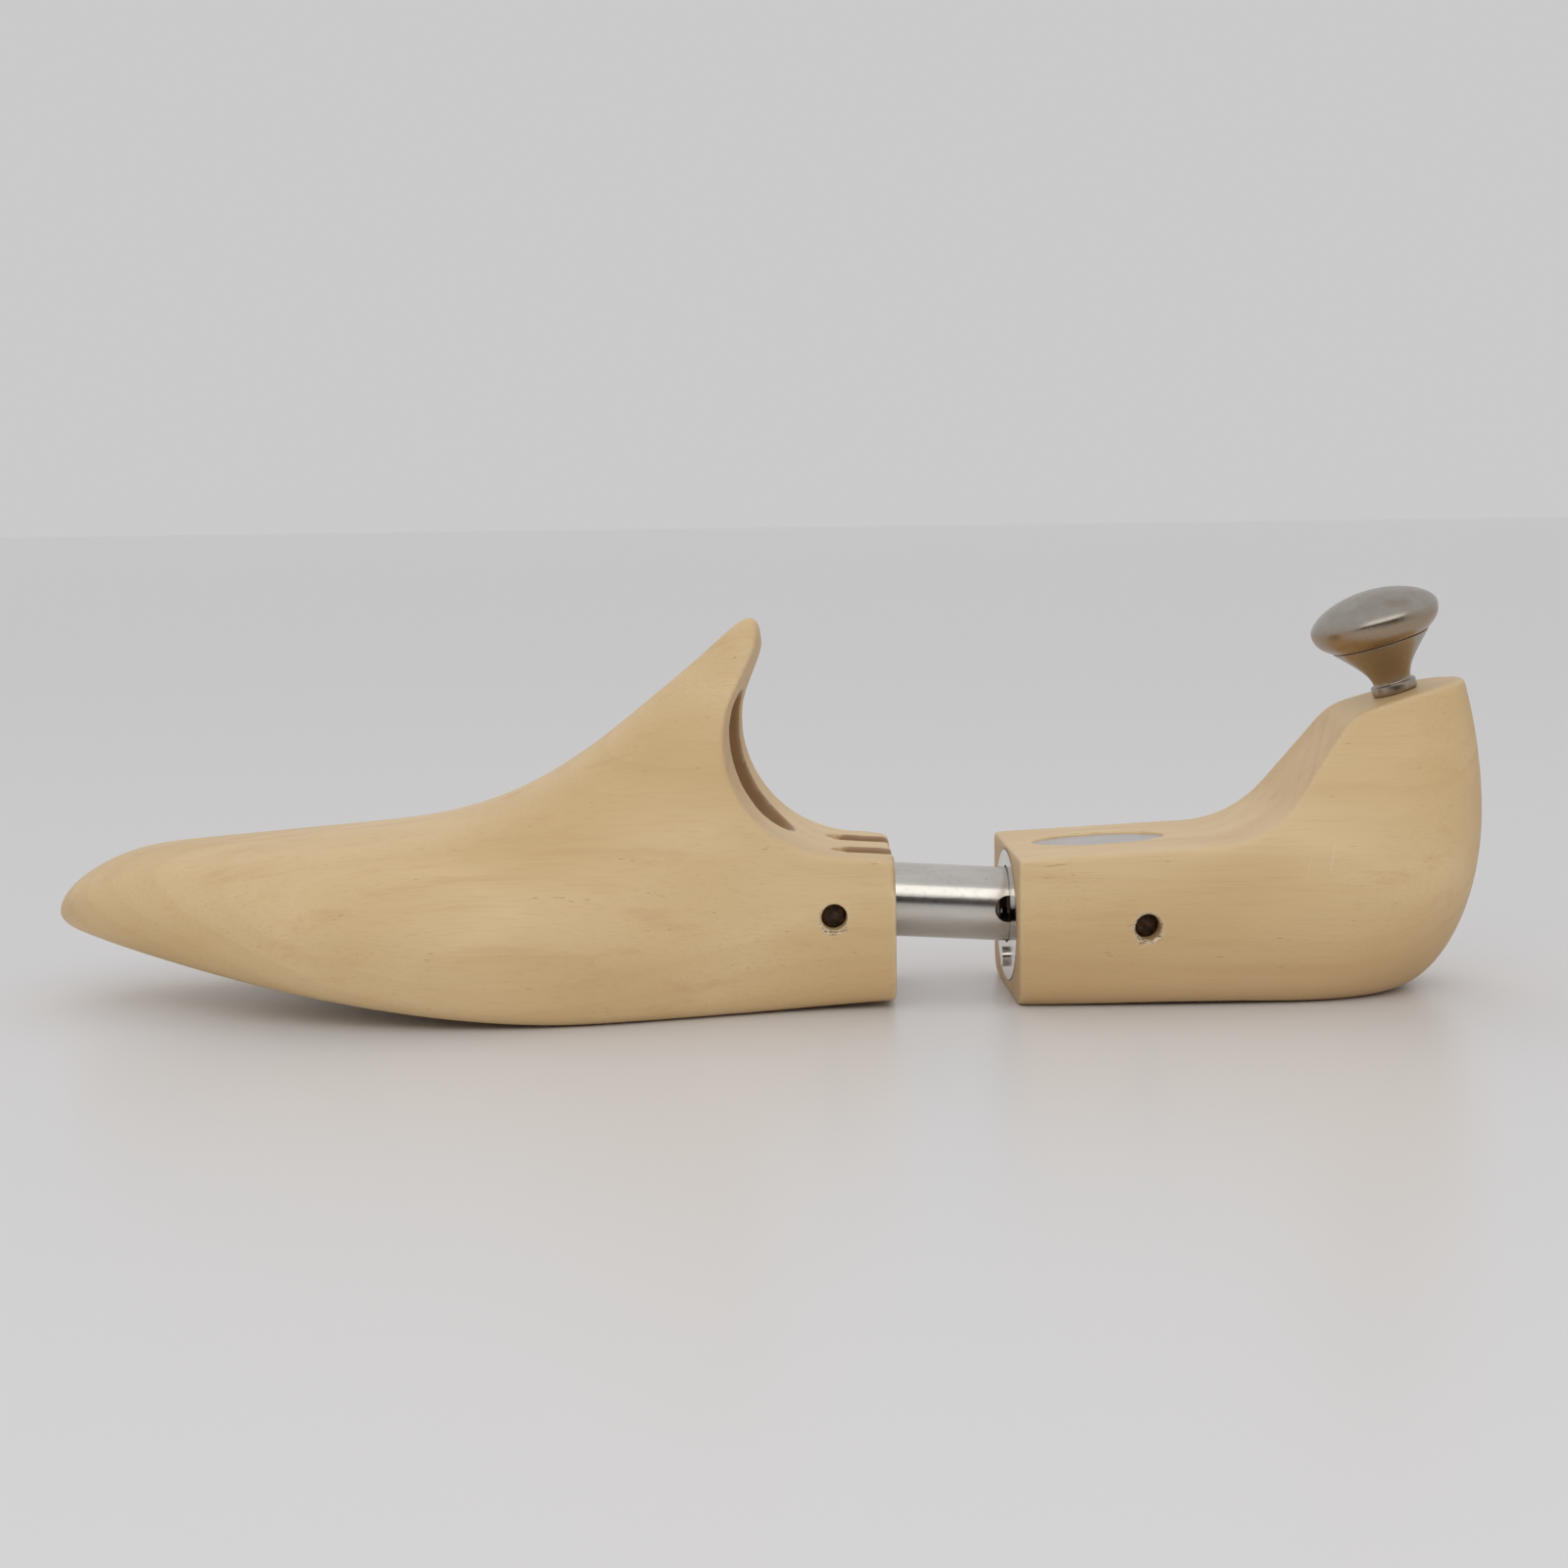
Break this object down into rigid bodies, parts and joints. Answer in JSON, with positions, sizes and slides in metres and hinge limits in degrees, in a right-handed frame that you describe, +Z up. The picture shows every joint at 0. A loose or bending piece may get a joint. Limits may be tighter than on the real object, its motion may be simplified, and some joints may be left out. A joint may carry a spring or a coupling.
{
  "type": "shoe tree",
  "caption": "Wooden shoe tree with a carved forepart, a spring-loaded steel slide tube, a shaped heel block and a metal pull knob.",
  "frame": {"origin": "middle of the whole on the surface it stands on", "axes": "+X from toe to heel, +Y to the foot's inner side, +Z up"},
  "size_m": [0.3085, 0.0775, 0.0862],
  "materials": {
    "pale_wood": "satin, fine straight grain",
    "tube_steel": "nickel plated, drawn",
    "knob_nickel": "aged nickel plate",
    "pin_steel": "dark, oxidised",
    "plate_steel": "polished, worn",
    "spring_steel": "dull drawn wire"
  },
  "bodies": {
    "forepart": {"forepart_block": "pale_wood", "slide_tube": "tube_steel", "forepart_pin": "pin_steel", "compression_spring": "spring_steel"},
    "heel": {"heel_block": "pale_wood", "heel_pin": "pin_steel", "face_plate": "plate_steel", "face_plate_screw": "pin_steel", "nameplate": "plate_steel", "knob_cap": "knob_nickel", "knob_neck": "knob_nickel", "knob_collar": "knob_nickel", "knob_stud": "pin_steel"}
  },
  "joints": [
    {"name": "heel_slide", "type": "slide", "parent": "forepart", "child": "heel", "axis": [0.998, 0, -0.0628], "range_m": [-0.021, 0], "stiffness_N_per_m": 600, "springref_m": 0.03, "deforming": ["compression_spring"]}
  ]
}
